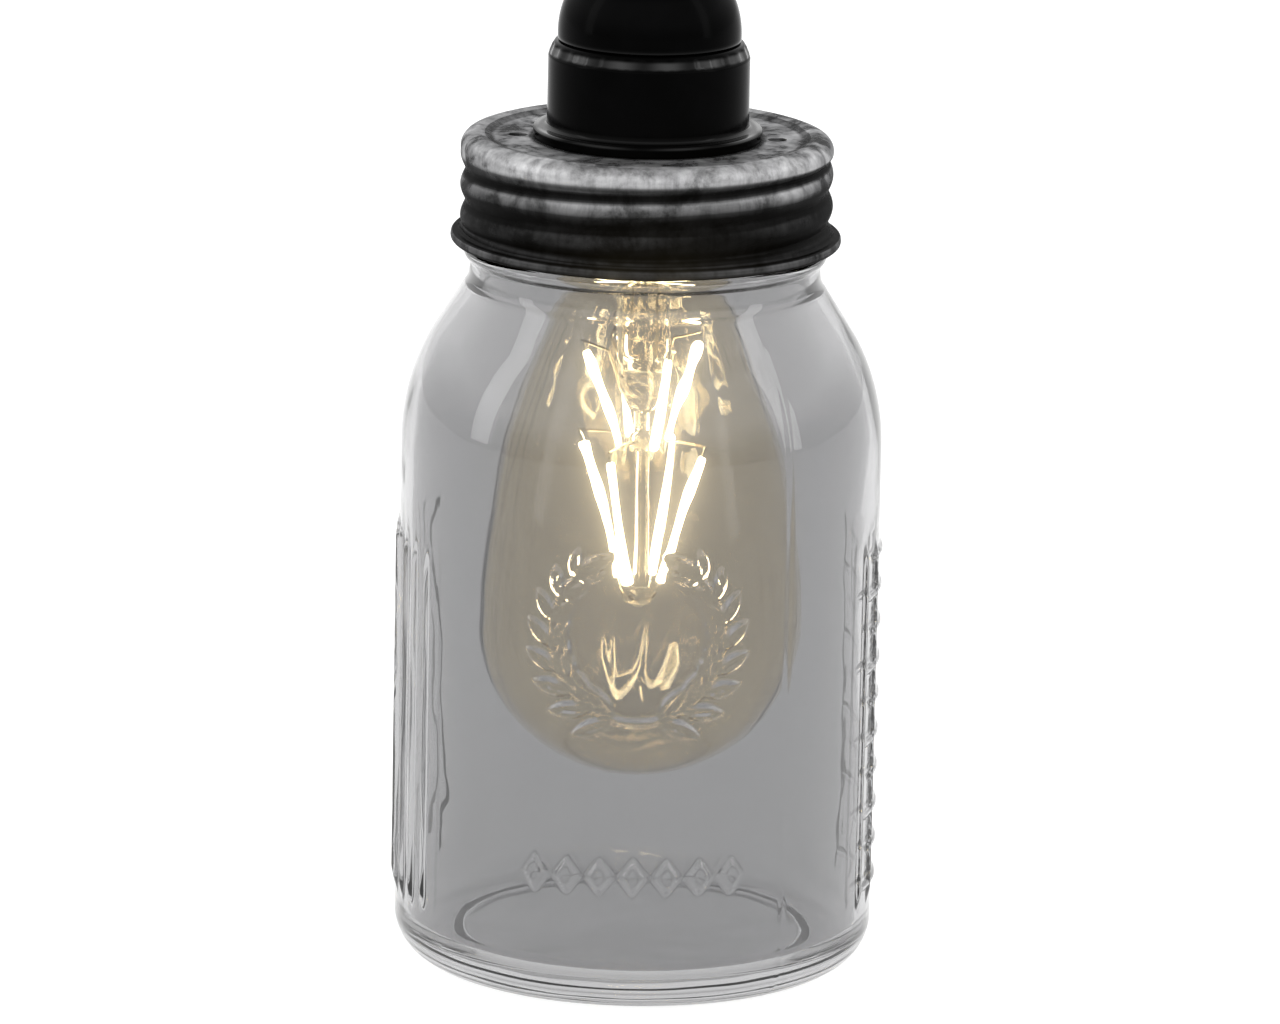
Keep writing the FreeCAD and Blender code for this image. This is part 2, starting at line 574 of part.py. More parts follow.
envelope = lathe("bulb_envelope", [
    (0, bulb_belly_z - 30.0), (31.06, bulb_belly_z - 6.992, crown(31.06, 23.008)), (bulb_rad, bulb_belly_z, 24.0),
    (bulb_cone_r, bulb_cone_z, bulb_side_rad), (bulb_neck_rad + 3.0, bulb_cone_z + 15.66),
    (bulb_neck_rad, bulb_cone_z + 25.5, Dim(-18.2, "(-18.2)")),
    (bulb_neck_rad, cap_lamp_z + 3.4), (bulb_neck_rad - gt, cap_lamp_z + 3.4),
    (bulb_neck_rad - gt, bulb_cone_z + 25.3), (bulb_neck_rad + 2.1, bulb_cone_z + 15.45, 19.5),
    (bulb_cone_r - 0.84, bulb_cone_z - 0.33),
    (bulb_rad - gt, bulb_belly_z, Dim(-145.8, "(-1 * (Sizes.bulb_side_rad - Sizes.glass_t))")),
    (30.2, bulb_belly_z - 6.73, -23.1), (0, bulb_belly_z - 29.1, -crown(30.2, 22.37))])
nodes.append(envelope)

lamp_cap = lathe("bulb_screw_cap", [
    (cap_lamp_crest - cap_lamp_t, cap_lamp_z), (cap_lamp_crest, cap_lamp_z), (cap_lamp_crest, cap_lamp_z + 3.8),
    (cap_root, cap_lamp_z + 4.5), (cap_root, cap_lamp_z + 21.2), (10.2, cap_lamp_z + 23.1), (7.6, cap_lamp_z + 23.1),
    (7.6, cap_lamp_z + 22.75), (10.05, cap_lamp_z + 22.75), (cap_root - cap_lamp_t, cap_lamp_z + 21.0),
    (cap_root - cap_lamp_t, cap_lamp_z + 4.35), (cap_lamp_crest - cap_lamp_t, cap_lamp_z + 3.65)])
helix(lamp_cap, "lamp_thread", [(cap_root - 0.15, cap_thread_z - 1.25), (cap_lamp_crest, cap_thread_z - 0.4),
                                (cap_lamp_crest, cap_thread_z + 0.4), (cap_root - 0.15, cap_thread_z + 1.25)],
      lamp_pitch, 3.7)
nodes.append(lamp_cap)

ins_z = cap_lamp_z + 23.1
nodes.append(lathe("bulb_insulator", [
    (3.0, ins_z), (9.6, ins_z), (9.2, ins_z + 0.8), (5.2, ins_z + 2.7), (3.0, ins_z + 2.7)]))
nodes.append(lathe("bulb_tip_contact", [
    (0, ins_z + 2.7), (4.7, ins_z + 2.7), (4.2, ins_z + 3.25), (2.6, tip_z, 3.2), (0, tip_z)]))

board = doc.addObject("Part::Box", "driver_board")
board.Label = "driver_board"
board.Length, board.Width, board.Height = 16.0, 1.2, 13.0
board.Placement = FreeCAD.Placement(V(-8.0, -0.6, num(cap_lamp_z) + 8.2), FreeCAD.Rotation())
board.setExpression("Placement.Base.z", (cap_lamp_z + 8.2).text)
nodes.append(board)
nodes.append(group("driver_parts", [
    upright("smoothing_can", 3.8, 0, 4.6, cap_lamp_z + 9.0, 10.0),
    block("driver_chip", -3.0, -2.4, cap_lamp_z + 11.0, 6.0, 1.8, 5.0),
    block("rectifier", -2.5, -2.2, cap_lamp_z + 17.2, 5.0, 1.6, 3.0)]))

stem = lathe("glass_stem", [
    (0, press_z - 9.0), (2.4, press_z - 9.0), (3.6, press_z - 7.0), (stem_rad, press_z), (stem_rad, press_z + 21.0),
    (stem_rad + 2.4, press_z + 26.4), (bulb_neck_rad - gt, press_z + 29.0), (bulb_neck_rad - gt, press_z + 30.2),
    (stem_rad + 1.6, press_z + 27.6), (stem_rad - stem_wall, press_z + 21.6), (stem_rad - stem_wall, press_z + 1.0), (0, press_z)])
nodes.append(stem)
nodes.append(lathe("stem_rod", [
    (0, rod_z), (1.8, rod_z), (2.6, rod_z + 0.9), (2.6, rod_z + 3.3), (rod_rad, rod_z + 4.5), (rod_rad, rod_z + 32.2),
    (2.3, rod_z + 33.0), (2.3, rod_z + 35.6), (rod_rad, rod_z + 36.4), (rod_rad, press_z - 9.0), (0, press_z - 9.0)]))

# two tiers of four light bars, each tier an inverted cone, staggered
tiers = {"lower": (62.0, 4.2, 76.8, 20.0, fil_len), "upper": (24.0, 5.2, 104.8, 20.0, fil_len_up)}
spans = {}
for tier, (turn, r0, z0, lean, bar) in tiers.items():
    bars, tabs = [], []
    for k in range(4):
        deg = turn + 90.0 * k
        d = polar(math.sin(math.radians(lean)), deg, math.cos(math.radians(lean)))
        a = polar(r0, deg, z0)
        b = a + d * num(bar)
        spans[tier, k] = (a, b, d, deg)
        bars.append(rod_between("%s_bar%d" % (tier, k), a, b, fil_rad, bar))
        tabs.append(rod_between("%s_tab_a%d" % (tier, k), a - d * num(tab_len), a, tab_rad, tab_len))
        tabs.append(rod_between("%s_tab_b%d" % (tier, k), b, b + d, tab_rad, tab_len))
    nodes.append(group(tier + "_filaments", bars))
    nodes.append(group(tier + "_filament_tabs", tabs))


def wire(name, pts):
    """A thin wire along straight runs, rounded at the bends."""
    rad = num(wire_rad)
    shape = None
    for i in range(len(pts) - 1):
        run = Part.makeCylinder(rad, (pts[i + 1] - pts[i]).Length, pts[i], pts[i + 1] - pts[i])
        shape = run if shape is None else shape.fuse(run)
        if i:
            shape = shape.fuse(Part.makeSphere(rad, pts[i]))
    f = doc.addObject("Part::Feature", name)
    f.Shape = shape.removeSplitter()
    return f


tl = num(tab_len)
low_wires, mid_wires, top_wires = [], [], []
for k in range(4):
    a, b, d, deg = spans["lower", k]
    low_wires.append(wire("low_wire%d" % k, [polar(2.6, deg, num(rod_z) + 2.1), a - d * tl]))
    mid_wires.append(wire("mid_wire_out%d" % k, [polar(2.3, deg, num(rod_z) + 34.3), polar(9.0, deg, num(rod_z) + 34.9), b + d * tl]))
    a, b, d, deg = spans["upper", k]
    mid_wires.append(wire("mid_wire_in%d" % k, [polar(2.3, deg, num(rod_z) + 34.3), a - d * tl]))
    top_wires.append(wire("top_wire%d" % k, [polar(3.8, deg + 20.0, num(press_z) - 6.5), polar(6.8, deg + 20.0, num(press_z) - 3.5),
                                         polar(9.4, deg + 20.0, num(press_z) + 4.0), b + d * tl]))
nodes.append(group("lower_support_wires", low_wires))
nodes.append(group("middle_support_wires", mid_wires))
nodes.append(group("upper_support_wires", top_wires))
leads = [wire("lead_wire%d" % i, [V(x, 0, num(press_z) + 0.95), V(x, 0, num(cap_lamp_z) + 8.2)]) for i, x in enumerate((2.2, -2.2))]
nodes.append(group("lead_wires", leads))

# ---- checks, then one file for each piece --------------------------------------------
doc.recompute()
for obj in doc.Objects:
    if any(s in ("Invalid", "Error") for s in obj.State):
        raise RuntimeError("%s: %s" % (obj.Name, obj.State))
for obj in nodes:
    if obj.Shape.isNull() or not obj.Shape.isValid() or not obj.Shape.Solids:
        raise RuntimeError(obj.Label + " has no valid solid")
os.makedirs("parts", exist_ok=True)
for obj in nodes:
    obj.Shape.exportStep("parts/%s.step" % obj.Label)
    print("%-24s solids %2d  volume %10.2f mm3" % (obj.Label, len(obj.Shape.Solids), obj.Shape.Volume))
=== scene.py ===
"""Looks of the jar lantern: a glass screw jar under a galvanised lid, with a black
lampholder through the lid and a clear filament lamp hanging in the jar.

Profiles are in millimetres, as (radius, height) pairs; every mesh is scaled to metres
when it is made.
"""

import math

import bmesh
import bpy
import numpy as np
from mathutils import Matrix, Vector


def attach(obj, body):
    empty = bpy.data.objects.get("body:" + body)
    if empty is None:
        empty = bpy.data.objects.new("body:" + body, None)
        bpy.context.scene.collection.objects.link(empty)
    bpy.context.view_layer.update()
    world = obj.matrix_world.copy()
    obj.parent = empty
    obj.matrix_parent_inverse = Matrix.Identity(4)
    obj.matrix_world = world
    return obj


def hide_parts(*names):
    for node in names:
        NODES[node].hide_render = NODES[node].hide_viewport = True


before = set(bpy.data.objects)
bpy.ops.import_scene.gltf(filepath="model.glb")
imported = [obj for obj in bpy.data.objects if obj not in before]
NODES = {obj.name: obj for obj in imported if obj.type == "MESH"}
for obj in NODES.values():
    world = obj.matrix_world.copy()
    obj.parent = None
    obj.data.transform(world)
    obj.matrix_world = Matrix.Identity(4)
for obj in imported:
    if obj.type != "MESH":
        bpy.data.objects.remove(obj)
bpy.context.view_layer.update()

TAU = 2 * math.pi


# ---------------------------------------------------------------- shape helpers
def trace(start, *legs):
    """A profile as dense points. A leg is (r, z, step) for a line or (r, z, step, R) for an
    arc; a positive R turns left along the way, a negative one turns right."""
    pts = [np.array(start, float)]
    for leg in legs:
        p, q, step = pts[-1], np.array(leg[:2], float), leg[2]
        d = q - p
        chord = math.hypot(*d)
        if chord < 1e-9:
            continue
        if len(leg) == 3:
            n = max(1, math.ceil(chord / step))
            for k in range(1, n + 1):
                pts.append(p + d * k / n)
            continue
        R = leg[3]
        side = 1 if R > 0 else -1
        R = max(abs(R), chord / 2)
        left = np.array([-d[1], d[0]]) / chord * side
        c = (p + q) / 2 + left * math.sqrt(max(0.0, R * R - chord * chord / 4))
        a0 = math.atan2(p[1] - c[1], p[0] - c[0])
        a1 = math.atan2(q[1] - c[1], q[0] - c[0])
        turn = (a1 - a0) % TAU if side > 0 else -((a0 - a1) % TAU)
        n = max(2, math.ceil(abs(turn) * R / step))
        for k in range(1, n + 1):
            a = a0 + turn * k / n
            pts.append(c + R * np.array([math.cos(a), math.sin(a)]))
    return np.array(pts)


def smooth(a, b, x):
    t = np.clip((x - a) / (b - a), 0.0, 1.0)
    return t * t * (3 - 2 * t)


def angles(*bands, coarse=2.4):
    """Angles round the axis, in radians: coarse all round and finer inside each band
    (from, to, step), all in degrees."""
    out = []
    a = -180.0
    while a < 180.0 - 1e-6:
        out.append(a)
        step = coarse
        for lo, hi, fine in bands:
            for shift in (-360, 0, 360):
                if lo + shift - 1e-6 <= a < hi + shift:
                    step = min(step, fine)
        a += step
    if 180.0 - out[-1] < 0.2:
        out.pop()
    return np.radians(np.array(out))


def finish_mesh(ob, material, body, replaced=(), sharp=40):
    me = ob.data
    bm = bmesh.new()
    bm.from_mesh(me)
    bmesh.ops.recalc_face_normals(bm, faces=bm.faces)
    bm.to_mesh(me)
    bm.free()
    me.polygons.foreach_set("use_smooth", [True] * len(me.polygons))
    if sharp:
        me.set_sharp_from_angle(angle=math.radians(sharp))
    me.materials.clear()
    me.materials.append(material)
    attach(ob, body)
    if replaced:
        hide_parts(*replaced)
    return ob


def new_object(name, verts, faces):
    me = bpy.data.meshes.new(name)
    me.from_pydata([tuple(v) for v in np.asarray(verts) * 0.001], [], faces)
    ob = bpy.data.objects.new(name, me)
    bpy.context.scene.collection.objects.link(ob)
    return ob


def sheet_faces(rows, cols, first=0, ring=False):
    faces = []
    for i in range(rows if ring else rows - 1):
        a, b = first + i * cols, first + ((i + 1) % rows) * cols
        for j in range(cols):
            k = (j + 1) % cols
            faces.append((a + j, a + k, b + k, b + j))
    return faces


def lathe_mesh(profile, theta, shift=None, ring=False):
    """Vertices and faces of a turned skin. `shift(theta, r, z, row)` returns new (r, z) grids.
    An open profile that ends on the axis is closed with a fan there."""
    r = np.repeat(profile[:, :1], len(theta), 1)
    z = np.repeat(profile[:, 1:], len(theta), 1)
    th = np.repeat(theta[None, :], len(profile), 0)
    if shift is not None:
        r, z = shift(th, r, z, np.arange(len(profile))[:, None])
    head = (not ring) and profile[0, 0] < 1e-6
    tail = (not ring) and profile[-1, 0] < 1e-6
    lo, hi = (1 if head else 0), (len(profile) - 1 if tail else len(profile))
    grid = np.stack([r * np.cos(th), r * np.sin(th), z], -1)[lo:hi]
    rows, cols = grid.shape[:2]
    verts = grid.reshape(-1, 3)
    faces = sheet_faces(rows, cols, ring=ring)
    extra = []
    if head:
        n = len(verts) + len(extra)
        extra.append((0, 0, profile[0, 1]))
        faces += [(n, (j + 1) % cols, j) for j in range(cols)]
    if tail:
        n = len(verts) + len(extra)
        extra.append((0, 0, profile[-1, 1]))
        last = (rows - 1) * cols
        faces += [(n, last + j, last + (j + 1) % cols) for j in range(cols)]
    if extra:
        verts = np.concatenate([verts, np.array(extra)])
    return verts, faces


def joined(parts):
    verts, faces, n = [], [], 0
    for v, f in parts:
        verts.append(np.asarray(v))
        faces += [tuple(i + n for i in q) for q in f]
        n += len(v)
    return np.concatenate(verts), faces


def moved(part, matrix):
    v, f = part
    m = np.array(matrix)
    return v @ m[:3, :3].T + m[:3, 3], f


def along(p, q):
    """Matrix that takes +Z from the origin to the line from p towards q."""
    d = Vector(q) - Vector(p)
    return Matrix.Translation(Vector(p)) @ d.to_track_quat("Z", "Y").to_matrix().to_4x4()


# ---------------------------------------------------------------- materials
def material(name):
    m = bpy.data.materials.new(name)
    m.use_nodes = True
    t = m.node_tree
    return m, t, t.nodes["Principled BSDF"]


def node(t, kind, **values):
    n = t.nodes.new(kind)
    for k, v in values.items():
        if k.startswith("_"):
            n.inputs[k[1:].replace("_", " ")].default_value = v
        else:
            setattr(n, k, v)
    return n


def coords(t, scale):
    c = node(t, "ShaderNodeTexCoord")
    m = node(t, "ShaderNodeMapping")
    m.inputs["Scale"].default_value = scale
    t.links.new(c.outputs["Object"], m.inputs["Vector"])
    return m.outputs["Vector"]


def noise(t, scale, detail=4.0, rough=0.55, stretch=(1, 1, 1), distort=0.0):
    n = node(t, "ShaderNodeTexNoise")
    n.inputs["Scale"].default_value = scale
    n.inputs["Detail"].default_value = detail
    n.inputs["Roughness"].default_value = rough
    n.inputs["Distortion"].default_value = distort
    t.links.new(coords(t, stretch), n.inputs["Vector"])
    return n.outputs["Fac"]


def ramp(t, source, *stops):
    n = node(t, "ShaderNodeValToRGB")
    e = n.color_ramp.elements
    while len(e) < len(stops):
        e.new(0.5)
    for el, (pos, col) in zip(e, stops):
        el.position = pos
        el.color = (col, col, col, 1) if isinstance(col, (int, float)) else (*col, 1)
    t.links.new(source, n.inputs["Fac"])
    return n.outputs["Color"]


def span(t, source, a, b, lo, hi):
    n = node(t, "ShaderNodeMapRange")
    for k, v in zip(("From Min", "From Max", "To Min", "To Max"), (a, b, lo, hi)):
        n.inputs[k].default_value = v
    t.links.new(source, n.inputs["Value"])
    return n.outputs["Result"]


def multiply(t, a, b, fac=1.0):
    n = node(t, "ShaderNodeMix", data_type="RGBA", blend_type="MULTIPLY")
    n.inputs["Factor"].default_value = fac
    t.links.new(a, n.inputs[6])
    t.links.new(b, n.inputs[7])
    return n.outputs[2]


def bump(t, bsdf, height, strength, distance):
    n = node(t, "ShaderNodeBump")
    n.inputs["Strength"].default_value = strength
    n.inputs["Distance"].default_value = distance
    t.links.new(height, n.inputs["Height"])
    t.links.new(n.outputs["Normal"], bsdf.inputs["Normal"])


def glass(name, colour, rough=0.0, ior=1.5, wave=None, depth=0.0):
    m, t, b = material(name)
    b.inputs["Base Color"].default_value = (*colour, 1)
    b.inputs["Transmission Weight"].default_value = 1.0
    b.inputs["Roughness"].default_value = rough
    b.inputs["IOR"].default_value = ior
    if wave:
        scale, strength, distance = wave
        bump(t, b, noise(t, scale, 2.0, 0.5), strength, distance)
    if depth:  # darker where the light runs a long way through the wall
        v = node(t, "ShaderNodeVolumeAbsorption")
        v.inputs["Color"].default_value = (0.5, 0.5, 0.5, 1)
        v.inputs["Density"].default_value = depth
        t.links.new(v.outputs["Volume"], t.nodes["Material Output"].inputs["Volume"])
    return m


def plain(name, colour, metal=0.0, rough=0.4, vary=0.12, scale=220, spec=0.5, grain=0.05):
    """A small part's finish: its colour with fine uneven tone, wear in the gloss and a fine grain."""
    m, t, b = material(name)
    dark = tuple(c * (1 - vary) for c in colour)
    light = tuple(min(1, c * (1 + vary)) for c in colour)
    t.links.new(ramp(t, noise(t, scale), (0.32, dark), (0.68, light)), b.inputs["Base Color"])
    t.links.new(span(t, noise(t, scale * 2.3), 0.3, 0.7, rough * 0.8, rough * 1.2), b.inputs["Roughness"])
    b.inputs["Metallic"].default_value = metal
    b.inputs["Specular IOR Level"].default_value = spec
    bump(t, b, noise(t, scale * 4), grain, 0.0002)
    return m


JAR_GLASS = glass("jar_glass", (0.455, 0.455, 0.46), wave=(38, 0.25, 0.0012), depth=12.0)
LAMP_GLASS = glass("lamp_glass", (0.90, 0.84, 0.71), ior=1.62)
STEM_GLASS = glass("stem_glass", (0.95, 0.93, 0.88), rough=0.02, ior=1.5, wave=(150, 0.12, 0.0004))


def galvanised():
    m, t, b = material("lid_steel")
    streak = noise(t, 1.0, 6.0, 0.65, stretch=(420, 420, 26))
    cloud = noise(t, 130, 7.0, 0.66, distort=0.3)
    spangle = node(t, "ShaderNodeTexVoronoi")
    spangle.inputs["Scale"].default_value = 160
    t.links.new(coords(t, (1, 1, 1)), spangle.inputs["Vector"])
    tone = multiply(
        t,
        ramp(t, streak, (0.25, (0.24, 0.24, 0.245)), (0.5, (0.45, 0.45, 0.455)), (0.75, (0.56, 0.56, 0.565))),
        ramp(t, cloud, (0.38, 0.28), (0.5, 0.72), (0.62, 1.0)),
    )
    grey = node(t, "ShaderNodeSeparateColor")
    t.links.new(spangle.outputs["Color"], grey.inputs["Color"])
    tone = multiply(t, tone, ramp(t, grey.outputs["Red"], (0.0, 0.86), (1.0, 1.0)))
    # painted shade: the shade painted onto the lid's points darkens the colour and, through the tint, the metal's
    # reflection
    dirt = node(t, "ShaderNodeAttribute", attribute_name="dirt")
    tone = multiply(t, tone, ramp(t, dirt.outputs["Fac"], (0.0, 1.0), (0.3, 0.30), (0.6, 0.06), (1.0, 0.012)))
    t.links.new(tone, b.inputs["Base Color"])
    t.links.new(tone, b.inputs["Specular Tint"])
    b.inputs["Metallic"].default_value = 0.85
    t.links.new(span(t, cloud, 0.3, 0.7, 0.34, 0.52), b.inputs["Roughness"])
    bump(t, b, streak, 0.12, 0.0006)
    return m


LID_STEEL = galvanised()


def black_gloss():
    m, t, b = material("black_moulding")
    t.links.new(ramp(t, noise(t, 90), (0.3, (0.0004, 0.0004, 0.0004)), (0.7, (0.0011, 0.0011, 0.0012))), b.inputs["Base Color"])
    t.links.new(span(t, noise(t, 260, 5.0), 0.3, 0.7, 0.10, 0.19), b.inputs["Roughness"])
    # edges and crowns with a raised reflection level, partly worn polish and partly painted highlight
    edge = node(t, "ShaderNodeAttribute", attribute_name="edge")
    b.inputs["Specular IOR Level"].default_value = 0.12
    t.links.new(span(t, edge.outputs["Fac"], 0.0, 1.0, 0.015, 0.34), b.inputs["Specular IOR Level"])
    bump(t, b, noise(t, 120, 2.0), 0.05, 0.0006)
    return m


BLACK = black_gloss()
RUBBER = plain("seal_rubber", (0.06, 0.06, 0.06), rough=0.7)
PORCELAIN = plain("porcelain", (0.78, 0.76, 0.70), rough=0.28, vary=0.05)
BRASS = plain("brass", (0.72, 0.50, 0.20), metal=1.0, rough=0.28)
PLATED = plain("plated", (0.62, 0.62, 0.60), metal=1.0, rough=0.24)
INSULATOR = plain("insulator", (0.02, 0.02, 0.025), rough=0.15)
SOLDER = plain("solder", (0.55, 0.55, 0.56), metal=1.0, rough=0.42)
BOARD = plain("board", (0.05, 0.22, 0.09), rough=0.4)
DRIVER = plain("driver", (0.03, 0.03, 0.035), rough=0.4)
WIRE = plain("wire", (0.42, 0.36, 0.27), metal=1.0, rough=0.3)


def phosphor():
    m, t, b = material("phosphor")
    b.inputs["Base Color"].default_value = (0.9, 0.72, 0.3, 1)
    b.inputs["Roughness"].default_value = 0.5
    b.inputs["Emission Color"].default_value = (1.0, 0.87, 0.60, 1)
    b.inputs["Emission Strength"].default_value = 60.0
    return m


PHOSPHOR = phosphor()


# ---------------------------------------------------------------- jar
def leaf(u, v, cx, cy, ang, length, width):
    """Height, 0 to 1, of a leaf with a sunk midrib."""
    a = (u - cx) * math.cos(ang) + (v - cy) * math.sin(ang)
    b = -(u - cx) * math.sin(ang) + (v - cy) * math.cos(ang)
    t = a / (length / 2)
    half = width / 2 * np.clip(1 - t * t, 0, 1) ** 0.8 * (1 - 0.22 * t)
    edge = half - np.abs(b)
    up = smooth(-0.05, 0.75, edge)
    rib = 1 - 0.45 * np.exp(-((b / 0.32) ** 2)) * smooth(1.0, 0.6, np.abs(t))
    return up * rib


def front_relief(u, v):
    """A plain laurel spray in the middle of the jar and a row of lozenges below it."""
    h = np.zeros_like(u)
    cx, cy, R = 0.0, 77.0, 17.0
    ang = np.arctan2(u - cx, cy - v)  # 0 at the foot of the spray, round to +-pi at the top
    rad = np.hypot(u - cx, v - cy)
    vine = smooth(0.95, 0.25, np.abs(rad - R)) * smooth(2.55, 2.40, np.abs(ang))
    h = np.maximum(h, 0.8 * vine)
    for side in (-1, 1):
        for k in range(8):
            w = side * (0.24 + 0.295 * k)
            px, py = cx + R * math.sin(w), cy - R * math.cos(w)
            tangent = math.atan2(math.sin(w), math.cos(w)) if side > 0 else math.atan2(-math.sin(w), -math.cos(w))
            size = 9.2 - 0.38 * k
            for lean, out in ((0.62, 1), (-0.62, -1)):
                d = tangent + side * lean * -1
                ex, ey = math.cos(d), math.sin(d)
                mx, my = px + ex * size * 0.56, py + ey * size * 0.56
                h = np.maximum(h, leaf(u, v, mx, my, d, size, 3.9 - 0.12 * k))
        w = side * 2.62
        d = math.atan2(math.sin(2.62), math.cos(2.62)) if side > 0 else math.atan2(-math.sin(w), -math.cos(w))
        px, py = cx + R * math.sin(w), cy - R * math.cos(w)
        h = np.maximum(h, leaf(u, v, px, py, d, 7.5, 3.4))
    for k in range(-3, 4):
        m = np.abs(u - 6.6 * k) / 2.6 + np.abs(v - 28.6) / 4.0
        h = np.maximum(h, smooth(1.06, 0.62, m) * (1 - 0.35 * smooth(0.42, 0.2, m)))
    return h


def side_ribs(off, z):
    """Upright grip ribs; `off` is millimetres round from the middle of the side."""
    h = np.zeros_like(off)
    for k in (-4.5, -3.5, -2.5, -1.5, -0.5, 0.5, 1.5, 2.5, 3.5, 4.5):
        top = 92 - 0.5 * abs(k)
        h = np.maximum(h, smooth(1.15, 0.15, np.abs(off - 5.45 * k)) * smooth(13, 18, z) * smooth(top, top - 6, z))
    return h


def side_scale(off, z):
    """A blank measuring strip: two rails and a rung every 7.5 mm, each second one short."""
    h = np.zeros_like(off)
    for x in (-17.0, -9.5, 9.5, 17.0):
        h = np.maximum(h, smooth(1.15, 0.15, np.abs(off - x)) * smooth(13, 18, z) * smooth(90, 84, z))
    for k in range(10):
        zc = 18 + 7.5 * k
        reach = 17.0 if k % 2 == 0 else 12.5
        h = np.maximum(h, smooth(0.95, 0.2, np.abs(z - zc)) * smooth(reach, reach - 0.8, np.abs(off)))
    return h


def build_jar():
    fine = 0.5
    outer = trace(
        (0, 2.4), (33.0, 2.4, 3), (34.0, 2.0, 0.4, -1.5), (35.6, 0.3, 0.5), (36.2, 0.0, 0.3, 1.0), (39, 0, 1),
        (48, 9, 0.8, 9), (48, 106, fine), (41.14, 129.53, 1.2, 43.8), (35.78, 137.94, 1.0), (35.0, 140.62, 0.4, -5),
        (35.0, 142.7, 0.6), (35.3, 143.1, 0.2, -0.5), (36.1, 144.4, 0.25, 1.4), (35.3, 145.6, 0.25, 1.4), (34.9, 146.1, 0.2, -0.6),
        (34.9, 165, 0.5), (33.9, 166, 0.3, 1), (33.6, 166, 0.3),
    )
    inner = trace(
        (33.6, 166), (32.8, 165.2, 0.3, 0.8), (32.8, 138.2, 1.4), (33.1, 136.6, 0.5, -3.5), (38.61, 127.92, 1.0), (45, 106, 1.4, -40.8),
        (45, 11.4, 1.6), (40.6, 6.6, 0.5, -4.6), (0, 7.2, 2.4),
    )
    profile = np.concatenate([outer, inner[1:]])
    n_out = len(outer)
    theta = angles((-134, -46, 0.62), (-32, 34, 0.72), (146, 214, 0.72), coarse=1.8)

    def shape(th, r, z, row):
        out = row < n_out
        body = out & (r > 40)
        deg = np.degrees(th)
        h = np.zeros_like(r)
        u = np.radians(deg + 90) * 48.0
        zone = body & (np.abs(u) < 36) & (z > 20) & (z < 104)
        h[zone] += 1.0 * front_relief(u[zone], z[zone])
        right = np.radians(((deg + 180) % 360) - 180) * 48.0
        zone = body & (np.abs(right) < 30) & (z > 10) & (z < 96)
        h[zone] += 0.75 * side_scale(right[zone], z[zone])
        left = np.radians((deg % 360) - 180) * 48.0
        zone = body & (np.abs(left) < 30) & (z > 10) & (z < 96)
        h[zone] += 0.8 * side_ribs(left[zone], z[zone])
        r = r + np.where(body, h, 0)
        # screw thread on the finish
        neck = out & (z > 149) & (z < 165) & (r < 36)
        rise = np.zeros_like(r)
        for k in (0, 1):
            t = (th % TAU) / TAU + k
            d = np.abs(z - (154.45 + 6.35 * t))
            fade = smooth(-0.01, 0.07, t) * smooth(1.26, 1.18, t)
            rise = np.maximum(rise, smooth(2.0, 0.55, d) * fade)
        r = np.where(neck, r + 1.12 * rise, r)
        # mould parting line and the uneven inside of pressed glass
        seam = np.exp(-(((np.abs(deg) - 52) / 0.5) ** 2)) * 0.10
        r = np.where(body, r + seam, r)
        inside = (~out) & (r > 20) & (z > 12) & (z < 132)
        sway = (
            0.16 * np.sin(2 * th + 0.7 + z * 0.021)
            + 0.10 * np.sin(5 * th + 1.9 - z * 0.047)
            + 0.07 * np.sin(9 * th + z * 0.083)
            + 0.06 * np.sin(z * 0.19 + 3 * th)
        )
        r = np.where(inside, r + sway * smooth(12, 26, z) * smooth(132, 118, z), r)
        return r, z

    ob = new_object("jar", *lathe_mesh(profile, theta, shape))
    return finish_mesh(ob, JAR_GLASS, "jar", ["glass_jar"], sharp=60)


build_jar()


